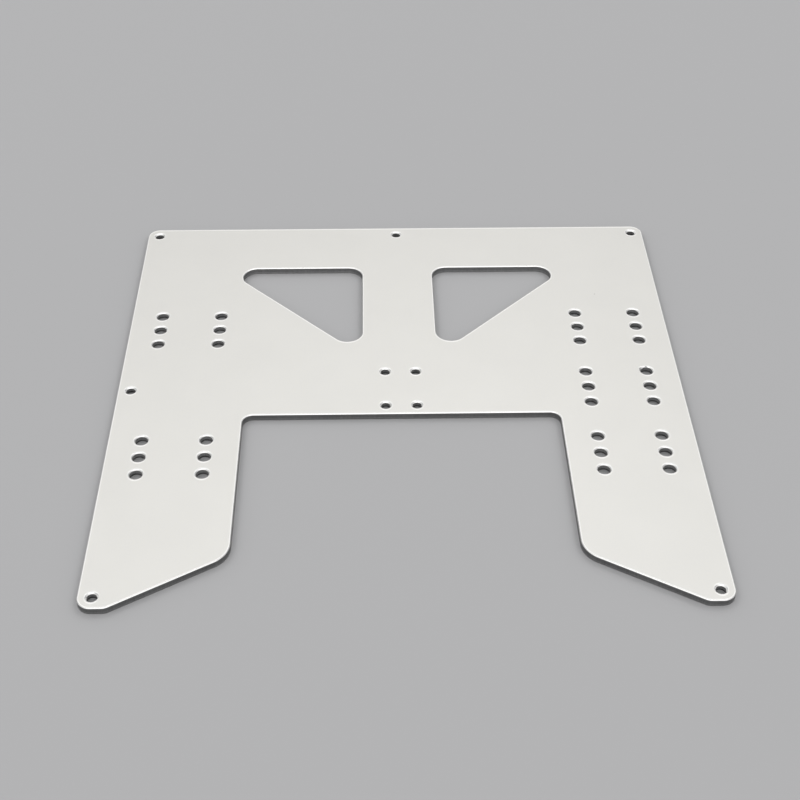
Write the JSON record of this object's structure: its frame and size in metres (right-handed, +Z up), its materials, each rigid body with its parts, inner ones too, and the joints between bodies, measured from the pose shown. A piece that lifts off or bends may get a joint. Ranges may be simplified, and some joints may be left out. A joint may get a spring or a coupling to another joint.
{
  "type": "y carriage plate",
  "caption": "Flat square metal plate with a deep open notch between splayed legs, triangular windows, and bevelled screw holes for bearing blocks, a belt clamp and a bed.",
  "frame": {"origin": "middle of the plate's square outline, on its underside", "axes": "+Z up, square to the plate; +Y away from the open notch, along the plate's travel; +X to the side with three bearing block groups"},
  "size_m": [0.219, 0.219, 0.003],
  "materials": {
    "carriage_plate": "fine blasted and clear anodised faces, with brighter bevels and darker cut walls"
  },
  "bodies": {
    "root": {"carriage_plate": "carriage_plate"}
  },
  "joints": []
}
